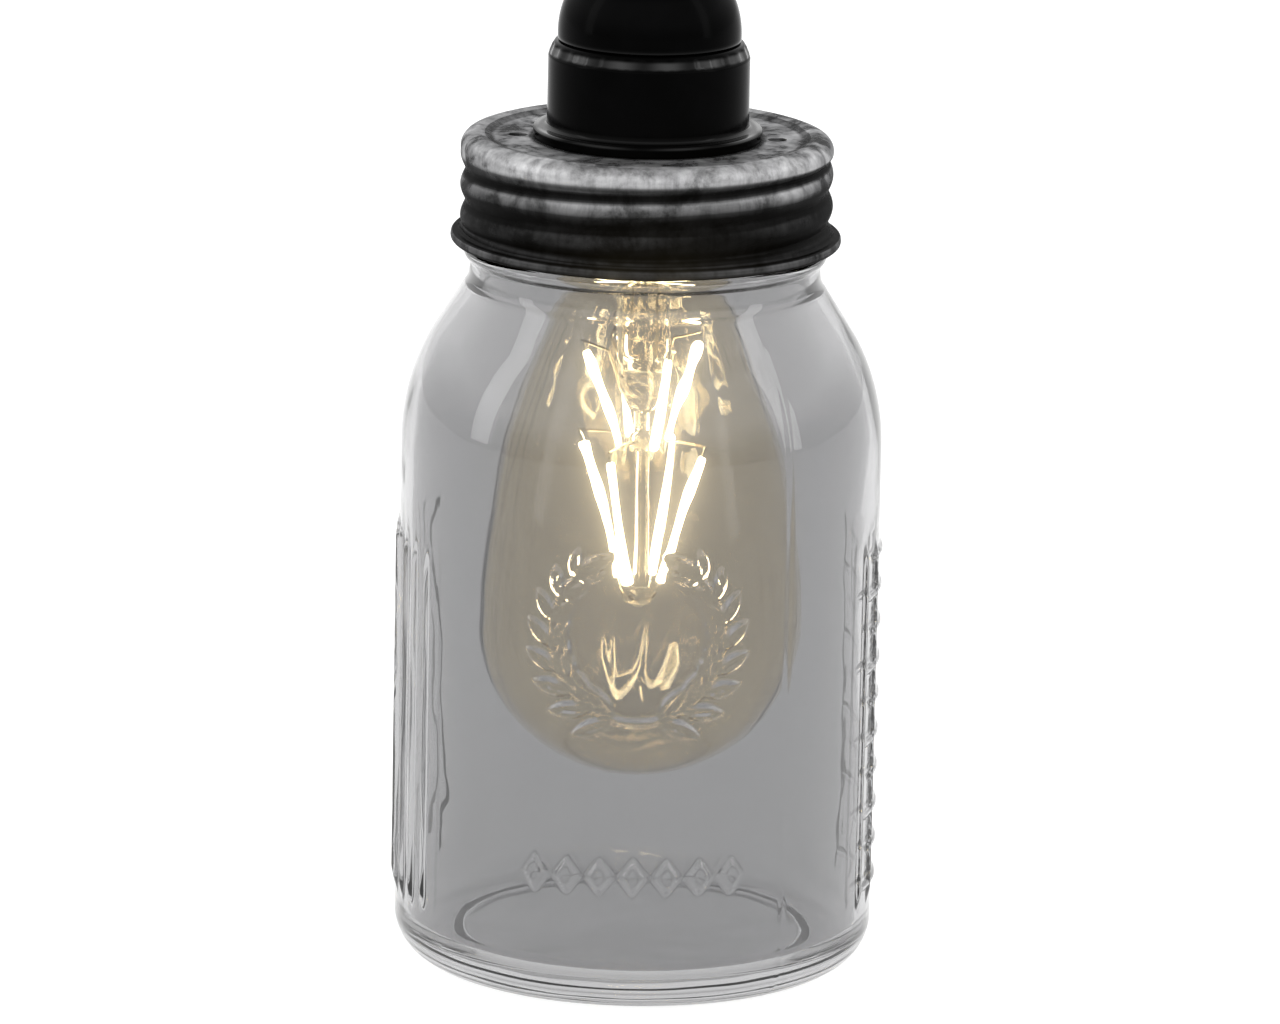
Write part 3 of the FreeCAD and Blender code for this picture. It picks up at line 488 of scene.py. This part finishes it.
# ---------------------------------------------------------------- lid
def build_lid():
    top = trace(
        (20.6, 167.4), (31.0, 167.4, 0.8), (32.4, 168.0, 0.25, -2.2), (33.4, 168.3, 0.25), (34.6, 168.1, 0.25, -2.0), (37.0, 165.4, 0.25, -2.9),
    )[:, :2]
    skirt = trace((37.0, 165.4), (37.0, 149.0, 0.22))
    lip = trace((37.0, 149.0), (37.4, 148.5, 0.15, 0.8), (38.2, 148.45, 0.15), (38.75, 147.6, 0.15, -0.8), (38.2, 146.5, 0.15, -0.85),
                (37.3, 146.75, 0.15, -0.9), (37.05, 147.3, 0.15, -0.6), (36.45, 148.4, 0.2), (36.4, 149.0, 0.2))
    back = trace((36.4, 149.0), (36.4, 165.2, 0.3), (34.4, 167.4, 0.3, 2.4), (33.4, 167.7, 0.3, 2.0), (32.6, 167.45, 0.3), (31.2, 166.8, 0.3, 2.2), (20.6, 166.8, 1.0), (20.3, 167.1, 0.2, -0.3))
    profile = np.concatenate([top, skirt[1:], lip[1:], back[1:]])
    n_top, n_skirt, n_lip = len(top), len(top) + len(skirt) - 1, len(top) + len(skirt) + len(lip) - 2
    step = 1.2
    theta = angles(coarse=step)
    keep = {}

    def shape(th, r, z, row):
        skirt_rows = (row >= n_top - 1) & (row < n_skirt)
        back_rows = (row >= n_lip) & (z < 165.2) & (r > 36)
        zc = 160.79 + 6.35 * (th % TAU) / TAU
        p = ((z - zc) / 6.35 + 0.5) % 1.0 - 0.5
        roll = (0.5 + 0.5 * np.cos(TAU * p)) ** 0.62
        # the roll runs out under the shoulder and above the lip
        top_band = smooth(163.2, 165.2, z)
        low_band = smooth(150.2, 149.2, z)
        depth = 1.05 * (1 - roll) * (1 - top_band) * (1 - 0.75 * low_band)
        r = np.where(skirt_rows, r - depth, r)
        r = np.where(back_rows, r - np.minimum(depth, 0.98), r)
        # a touch of handling: nothing rolled from sheet is quite round
        wob = 0.05 * np.sin(3 * th + 0.4) + 0.035 * np.sin(7 * th + z * 0.3)
        r = np.where(r > 30, r + wob * smooth(30, 36, r), r)
        z = np.where((row < n_top) & (r < 31), z + 0.05 * np.sin(2 * th + 1) * smooth(23, 27, r), z)
        # painted shade: the lid is darkened in the roll grooves, on roll faces that look down, more towards the foot of
        # the skirt and at the front, where it also stands in for the dark camera side mirrored in the steel; and in the
        # band above the lip, on the lip's front and underside, lightly over the top, at the bead ring, round the
        # lampholder flange and all over the inside
        dirt = np.zeros_like(r)
        slope = np.gradient(r, axis=0) / np.minimum(np.gradient(z, axis=0), -1e-6)  # above zero where the roll faces down
        under = smooth(-0.08, 0.6, slope)
        front = 0.5 - 0.5 * np.sin(th)  # 1 at the front
        low = 1.08 * smooth(165.5, 152.0, z) * (0.53 + 0.45 * front**2 + 0.2 * np.cos(th)) * (0.85 + 0.15 * np.sin(5 * th + 1.1))
        dirt = np.where(skirt_rows, np.clip(np.maximum(0.95 * smooth(0.35, 1.0, depth), 0.5 * under) + low, 0, 1), dirt)
        dirt = np.maximum(dirt, np.where((row >= n_top) & (z < 149.6) & (z > 148.3), 0.75, 0))
        dirt = np.maximum(dirt, np.where((row >= n_skirt) & (row < n_lip), 0.1 + 0.5 * front**2 + 0.2 * smooth(147.4, 146.7, z), 0))
        dirt = np.maximum(dirt, np.where(row < n_top, 0.05 + 0.03 * smooth(35.5, 33.0, r), 0))
        dirt = np.maximum(dirt, np.where((row < n_top) & (r > 30.6) & (r < 32.2), 0.25, 0))
        dirt = np.maximum(dirt, np.where((row < n_top) & (r < 24.2), 0.35 * smooth(24.2, 22.8, r), 0))
        dirt = np.maximum(dirt, np.where(row >= n_lip, 0.6, 0))
        keep["dirt"] = dirt
        return r, z

    verts, faces = lathe_mesh(profile, theta, shape, ring=True)
    ob = new_object("lid", verts, faces)
    # the painted shade is stored on the points for the steel's colour
    at = ob.data.attributes.new("dirt", "FLOAT", "POINT")
    at.data.foreach_set("value", keep["dirt"].reshape(-1).astype(np.float32))
    # the two vents through the panel
    for x in (25.7, -25.7):
        plug = trace((0, 165.0), (1.9, 165.0, 1), (1.9, 169.5, 0.5), (0, 169.5, 1))
        cutter = new_object("vent_tool", *moved(lathe_mesh(plug, np.linspace(0, TAU, 40, endpoint=False)), Matrix.Translation((x, 0, 0))))
        mod = ob.modifiers.new("vent", "BOOLEAN")
        mod.operation, mod.solver, mod.object = "DIFFERENCE", "EXACT", cutter
        bpy.context.view_layer.objects.active = ob
        bpy.ops.object.modifier_apply(modifier="vent")
        bpy.data.objects.remove(cutter)
    return finish_mesh(ob, LID_STEEL, "head", ["screw_lid"], sharp=50)


build_lid()


# ---------------------------------------------------------------- lampholder
def build_socket():
    th = angles(coarse=1.5)
    wear_and_painted_highlight = {}

    # stores the raised reflection level on the points: partly polished wear, partly painted highlight
    def apply_wear_and_painted_highlight(ob):
        at = ob.data.attributes.new("edge", "FLOAT", "POINT")
        at.data.foreach_set("value", wear_and_painted_highlight["edge"].reshape(-1).astype(np.float32))
        return ob

    # body: threaded skirt under the lid, flange on it, plain barrel with a scalloped shoulder
    outer = trace(
        (15.2, 178.0), (15.2, 153.0, 1.2), (15.7, 152.4, 0.3, 0.6), (18.7, 152.4, 0.6), (19.3, 153.0, 0.2, 0.6), (19.3, 166.6, 0.22),
        (19.4, 167.42, 0.3), (22.1, 167.42, 0.6), (22.75, 168.0, 0.2, 0.6), (22.75, 169.2, 0.3), (22.2, 169.72, 0.2, 0.55), (20.7, 169.75, 0.4),
        (20.05, 170.5, 0.2, -0.8), (20.0, 183.6, 0.8), (19.82, 184.3, 0.15, 0.9), (18.95, 186.4, 0.2), (18.3, 186.95, 0.15, 0.9), (12.0, 187.0, 1.5),
        (12.0, 178.0, 1.5),
    )

    def body(t, r, z, row):
        neck = (z > 153.4) & (z < 166.4) & (r > 19.0) & (r < 19.6)
        rise = 0.6 * (0.5 + 0.5 * np.cos(TAU * ((z - 160) / 2.5 - t / TAU))) ** 1.6 * smooth(153.4, 155, z) * smooth(166.4, 165.2, z)
        r = np.where(neck, r + rise, r)
        rim = (z > 184.2) & (z < 186.6) & (r > 18.8)
        notch = np.clip(np.cos(28 * t), -0.6, 0.9) * 0.17 * smooth(184.2, 184.8, z) * smooth(186.6, 186.1, z)
        r = np.where(rim, r + notch, r)
        # painted highlight, partly wear: raised reflection in broken dashes round the shoulder, in lobes on the flange
        # lip and in a thin line at the foot of the barrel
        edge = smooth(184.3, 184.8, z) * smooth(186.2, 185.6, z) * (r > 18) * (0.6 + 0.4 * np.sin(13 * t + 0.7))
        lip = smooth(168.9, 169.4, z) * smooth(21.2, 21.9, r) * (0.22 + 0.2 * np.sin(9 * t + 0.5))
        foot = np.exp(-(((z - 170.2) / 0.35) ** 2)) * (r > 19.9) * 0.2
        wear_and_painted_highlight["edge"] = np.clip(np.maximum(np.maximum(edge, lip), foot), 0, 1)
        return r, z

    ob = new_object("lampholder_body", *lathe_mesh(outer, th, body, ring=True))
    finish_mesh(apply_wear_and_painted_highlight(ob), BLACK, "head", ["socket_body"], sharp=45)

    # cap: screws on over the barrel's shoulder and rises in a dome to the cord hub
    cap_out = trace(
        (16.0, 187.05), (17.7, 187.05, 0.5), (18.2, 187.5, 0.2, 0.5), (18.2, 188.6, 0.5), (7.9, 204.99, 0.7, 18.2),
        (7.2, 206.2, 0.2, -1.8), (7.0, 207.4, 0.4), (7.0, 209.3, 0.4), (6.3, 210.0, 0.2, 0.7), (3.7, 210.0, 0.6),
        (3.7, 203.4, 1.0), (6.0, 202.2, 0.8), (15.9, 189.0, 1.2, -16.6), (15.6, 187.2, 0.6),
    )

    def dome(t, r, z, row):
        # painted highlight, partly wear: raised reflection in seven lobes on the crown and a faint band at the lower
        # edge
        crown = smooth(198.5, 203.0, z) * (0.5 + 0.5 * np.sin(7 * t + 0.8))
        wear_and_painted_highlight["edge"] = np.clip(np.maximum(crown, smooth(188.0, 187.3, z) * 0.35), 0, 1)
        return r, z

    ob = new_object("lampholder_cap", *lathe_mesh(cap_out, th, dome, ring=True))
    finish_mesh(apply_wear_and_painted_highlight(ob), BLACK, "head", ["socket_cap"], sharp=45)

    grip = trace(
        (3.6, 210.05), (6.1, 210.05, 0.5), (6.6, 210.5, 0.15, 0.5), (6.6, 211.6, 0.25), (6.2, 212.0, 0.15, 0.4), (5.6, 212.1, 0.2),
        (5.3, 212.6, 0.15, -0.5), (5.0, 214.4, 0.3), (4.4, 215.0, 0.15, 0.6), (4.0, 215.0, 0.2), (3.6, 214.6, 0.15, 0.4), (3.6, 212.0, 0.5),
    )

    def fluted(t, r, z, row):
        edge = (r > 6.4) & (z < 211.9)
        return np.where(edge, r - 0.16 * (0.5 + 0.5 * np.cos(24 * t)), r), z

    ob = new_object("cord_collar", *lathe_mesh(grip, angles(coarse=2.5), fluted, ring=True))
    finish_mesh(ob, BLACK, "head", ["cord_grip"], sharp=45)


build_socket()


# ---------------------------------------------------------------- lamp
def build_lamp():
    th = angles(coarse=0.75)
    out = trace(
        (0, 38.0), (31.06, 61.008, 1.0, 32.47), (32.1, 68.0, 0.8, 24.0), (21.8, 122.0, 1.2, 146.7), (15.6, 137.66, 1.2), (12.6, 147.5, 0.8, -18.2),
        (12.6, 152.6, 0.8), (12.3, 152.8, 0.2),
    )
    inn = trace(
        (12.3, 152.8), (11.7, 152.6, 0.3), (11.7, 147.3, 0.8), (14.7, 137.45, 0.8, 19.5), (20.96, 121.67, 1.2), (31.2, 68.0, 1.2, -145.8),
        (30.2, 61.27, 0.8, -23.1), (0, 38.9, 1.0, -31.57),
    )
    prof = np.concatenate([out, inn[1:]])
    n_out = len(out)

    def drawn(t, r, z, row):
        live = smooth(44, 62, z) * smooth(146, 132, z)
        # drawing lines in the glass, away from the front, that break up the mirrored bars
        away = np.abs((t + math.pi / 2 + math.pi) % TAU - math.pi)
        lines = (
            0.280 * np.sin(17 * t + 0.5 + 0.012 * z) + 0.140 * np.sin(25 * t + 1.7 - 0.015 * z)
            + 0.015 * np.sin(43 * t + 0.3 + 0.02 * z)
            + 0.140 * np.sin(0.45 * z + 1.3 * np.sin(7 * t) + 0.8) + 0.070 * np.sin(0.8 * z - 1.1 * np.sin(11 * t + 1.0))
        ) * smooth(math.radians(96), math.radians(124), away) * smooth(136, 120, z)
        sway = (
            0.040 * np.sin(11 * t + 0.6 + 0.02 * z) + 0.022 * np.sin(17 * t + 2.1 - 0.02 * z)
            + 0.012 * np.sin(29 * t + 0.9 + 0.01 * z) + 0.03 * np.sin(3 * t + 0.05 * z)
        )
        return np.where(row >= n_out, r + (sway + lines) * live, r + lines * live), z

    ob = new_object("lamp_envelope", *lathe_mesh(prof, th, drawn))
    finish_mesh(ob, LAMP_GLASS, "lamp", ["bulb_envelope"], sharp=70)

    # screw cap: rolled thread that runs out at both ends
    shell = trace(
        (11.9, 149.5), (12.75, 149.4, 0.2), (12.95, 149.8, 0.15, 0.4), (12.9, 151.0, 0.3), (12.45, 152.0, 0.3), (12.45, 170.3, 0.28),
        (12.2, 171.2, 0.2, 1.2), (10.6, 172.3, 0.3), (9.2, 172.5, 0.3), (9.2, 171.9, 0.3), (11.8, 170.5, 0.5), (11.8, 151.0, 1.0),
    )

    def screw(t, r, z, row):
        wall = (r > 12.4) & (z >= 152.0) & (z <= 170.4)
        ph = (z - 153) / 3.6286 - t / TAU
        rise = 0.62 * (0.5 + 0.5 * np.cos(TAU * ph)) ** 0.8 * smooth(152.4, 154.4, z) * smooth(170.3, 168.2, z)
        return np.where(wall, r + rise, r), z

    ob = new_object("lamp_screw_cap", *lathe_mesh(shell, angles(coarse=2.5), screw, ring=True))
    finish_mesh(ob, PLATED, "lamp", ["bulb_screw_cap"], sharp=50)

    # stem: flared tube, pinched flat below, with a rod carrying two buttons
    tube = trace(
        (0, 112.0), (1.6, 112.1, 0.4), (2.3, 113.5, 0.4), (4.6, 119.0, 0.6), (5.5, 122.5, 0.5), (5.5, 142.0, 0.9), (11.6, 150.6, 0.6, -9.0), (11.6, 151.0, 0.3),
        (11.0, 151.0, 0.3), (4.7, 142.4, 0.7, 9.6), (4.7, 123.5, 1.0), (3.0, 120.5, 0.6), (0, 120.0, 0.8),
    )
    stem = lathe_mesh(tube, angles(coarse=3.0))
    v = stem[0]
    flat = smooth(124.5, 117.0, v[:, 2])
    swirl = 1 + 0.05 * np.sin(v[:, 2] * 1.9 + 3 * np.arctan2(v[:, 1], v[:, 0])) * flat
    v[:, 0] *= (1 + 0.35 * flat) * swirl
    v[:, 1] *= (1 - 0.42 * flat) * swirl
    ob = new_object("lamp_stem", *stem)
    finish_mesh(ob, STEM_GLASS, "lamp", ["glass_stem"], sharp=70)

    rod = trace(
        (0, 71.5), (1.0, 71.7, 0.3), (1.4, 72.2, 0.2), (2.3, 72.6, 0.3), (2.6, 73.6, 0.25, 1.6), (2.3, 74.6, 0.25, 1.6), (1.4, 75.2, 0.25), (1.35, 104.0, 1.0),
        (2.0, 104.7, 0.3), (2.3, 105.8, 0.25, 1.6), (2.0, 106.9, 0.25, 1.6), (1.4, 107.5, 0.25), (1.4, 111.6, 0.6), (0, 112.0, 0.5),
    )
    ob = new_object("lamp_rod", *lathe_mesh(rod, angles(coarse=9)))
    finish_mesh(ob, STEM_GLASS, "lamp", ["stem_rod"], sharp=70)

    # filaments: coated sticks with rounded ends
    for name, first, foot_r, foot_z, lean, n in (("lower_filaments", 62, 4.2, 76.8, 20, 29), ("upper_filaments", 24, 5.2, 104.8, 20, 21)):
        stick = trace((0, 0), (0.55, 0.12, 0.1), (0.9, 0.55, 0.12, 0.6), (0.95, 1.2, 0.2), (0.95, n - 1.2, 1.2), (0.9, n - 0.55, 0.2), (0.55, n - 0.12, 0.12, 0.6), (0, n, 0.1))
        parts = []
        for k in range(4):
            a = math.radians(first + 90 * k)
            s, c = math.sin(math.radians(lean)), math.cos(math.radians(lean))
            p = Vector((foot_r * math.cos(a), foot_r * math.sin(a), foot_z))
            q = p + Vector((s * math.cos(a), s * math.sin(a), c)) * n
            parts.append(moved(lathe_mesh(stick, angles(coarse=20)), along(p, q)))
        ob = new_object("lamp_" + name, *joined(parts))
        finish_mesh(ob, PHOSPHOR, "lamp", [name], sharp=60)


build_lamp()

# ---------------------------------------------------------------- pieces kept as they come
KEEP = {
    "lid_gasket": RUBBER, "shade_ring": BLACK, "contact_carrier": PORCELAIN, "screw_shell": BRASS, "centre_contact": BRASS,
    "shell_rivets": PLATED, "centre_rivet": PLATED, "terminal_plates": BRASS, "terminal_screws": BRASS, "grip_screw": PLATED,
    "bulb_insulator": INSULATOR, "bulb_tip_contact": SOLDER, "driver_board": BOARD, "driver_parts": DRIVER,
    "lower_filament_tabs": PLATED, "upper_filament_tabs": PLATED, "lower_support_wires": WIRE, "middle_support_wires": WIRE,
    "upper_support_wires": WIRE, "lead_wires": WIRE,
}
for name, finish in KEEP.items():
    me = NODES[name].data
    me.materials.clear()
    me.materials.append(finish)

# ---------------------------------------------------------------- stage
def build_floor():
    rings = [0.0, 0.05, 0.1, 0.2, 0.4, 0.8, 1.6, 3.0, 5.0, 8.0, 12.0]
    cols = 96
    verts, faces = [(0, 0, 0)], []
    for r in rings[1:]:
        for j in range(cols):
            a = TAU * j / cols
            verts.append((r * math.cos(a), r * math.sin(a), 0))
    for j in range(cols):
        faces.append((0, 1 + j, 1 + (j + 1) % cols))
    for i in range(len(rings) - 2):
        a, b = 1 + i * cols, 1 + (i + 1) * cols
        for j in range(cols):
            k = (j + 1) % cols
            faces.append((a + j, b + j, b + k, a + k))
    me = bpy.data.meshes.new("floor")
    me.from_pydata(verts, [], faces)
    ob = bpy.data.objects.new("floor", me)
    ob.location.z = -0.0002
    bpy.context.scene.collection.objects.link(ob)
    m, t, b = material("floor_paint")
    t.links.new(ramp(t, noise(t, 3.0, 2.0), (0.3, 0.24), (0.7, 0.25)), b.inputs["Base Color"])
    b.inputs["Emission Color"].default_value = (1, 1, 1, 1)
    b.inputs["Emission Strength"].default_value = 0.92
    b.inputs["Roughness"].default_value = 0.9
    b.inputs["Specular IOR Level"].default_value = 0.0
    me.materials.append(m)


build_floor()

scene = bpy.context.scene
world = bpy.data.worlds.new("studio")
scene.world = world
world.use_nodes = True
wt = world.node_tree
back = wt.nodes["Background"]
wc = node(wt, "ShaderNodeTexCoord")
split = node(wt, "ShaderNodeSeparateXYZ")
wt.links.new(wc.outputs["Generated"], split.inputs["Vector"])
# bright overhead and behind; dimmer on the camera's side, so that metal and black mouldings
# have something dark to mirror
facing = span(wt, split.outputs["Y"], -1.0, 0.6, 0.0, 1.0)
level = ramp(wt, facing, (0.0, 0.08), (0.35, 0.30), (0.75, 0.80), (1.0, 0.9))
height = ramp(wt, split.outputs["Z"], (0.0, 1.04), (0.12, 1.3), (0.3, 2.1), (0.65, 2.1), (0.85, 1.1), (1.0, 0.9))
lift = node(wt, "ShaderNodeMix", data_type="RGBA", blend_type="LIGHTEN")
lift.inputs["Factor"].default_value = 1.0
wt.links.new(level, lift.inputs[6])
wt.links.new(height, lift.inputs[7])
wt.links.new(lift.outputs[2], back.inputs["Color"])
back.inputs["Strength"].default_value = 1.0


def softbox(name, place, target, width, height, power, colour=(1, 1, 1)):
    la = bpy.data.lights.new(name, "AREA")
    la.shape, la.size, la.size_y, la.energy, la.color = "RECTANGLE", width, height, power, colour
    ob = bpy.data.objects.new(name, la)
    ob.location = place
    ob.rotation_mode = "QUATERNION"
    ob.rotation_quaternion = (Vector(target) - Vector(place)).to_track_quat("-Z", "Y")
    scene.collection.objects.link(ob)


softbox("left_strip", (-1.5, -0.2, 0.75), (0, 0, 0.12), 0.35, 1.3, 2.8)
softbox("right_strip", (1.45, -0.35, 0.7), (0, 0, 0.12), 0.3, 1.2, 2.3)

# ---------------------------------------------------------------- camera
cam = bpy.data.cameras.new("camera")
cam.lens, cam.sensor_width = 263.0, 36.0
eye = bpy.data.objects.new("camera", cam)
scene.collection.objects.link(eye)
scene.camera = eye
elev, dist = math.radians(13.6), 1.87
aim = Vector((0.0, 0.0, 0.091))
eye.location = aim + Vector((0, -math.cos(elev), math.sin(elev))) * dist
look = (aim - eye.location).to_track_quat("-Z", "Y")
eye.rotation_mode = "QUATERNION"
eye.rotation_quaternion = look @ Matrix.Rotation(math.radians(1.17), 3, "Z").to_quaternion()
cam.clip_start, cam.clip_end = 0.01, 60

# ---------------------------------------------------------------- render look
scene.view_settings.view_transform = "Standard"
scene.view_settings.exposure = 0.0
scene.cycles.use_denoising = True
scene.cycles.max_bounces = 40
scene.cycles.transmission_bounces = 36
scene.cycles.glossy_bounces = 12
scene.cycles.transparent_max_bounces = 16
scene.cycles.diffuse_bounces = 4
scene.cycles.caustics_reflective = True
scene.cycles.caustics_refractive = True
scene.cycles.sample_clamp_indirect = 14.0

# a little bloom round the lit bars
scene.use_nodes = True
ct = scene.node_tree
ct.nodes.clear()
layers = node(ct, "CompositorNodeRLayers")
glow = node(ct, "CompositorNodeGlare", glare_type="FOG_GLOW", quality="HIGH")
for key, value in (("Threshold", 2.0), ("Strength", 0.27), ("Size", 0.8)):
    if key in glow.inputs:
        glow.inputs[key].default_value = value
out = node(ct, "CompositorNodeComposite")
ct.links.new(layers.outputs["Image"], glow.inputs["Image"])
ct.links.new(glow.outputs["Image"], out.inputs["Image"])
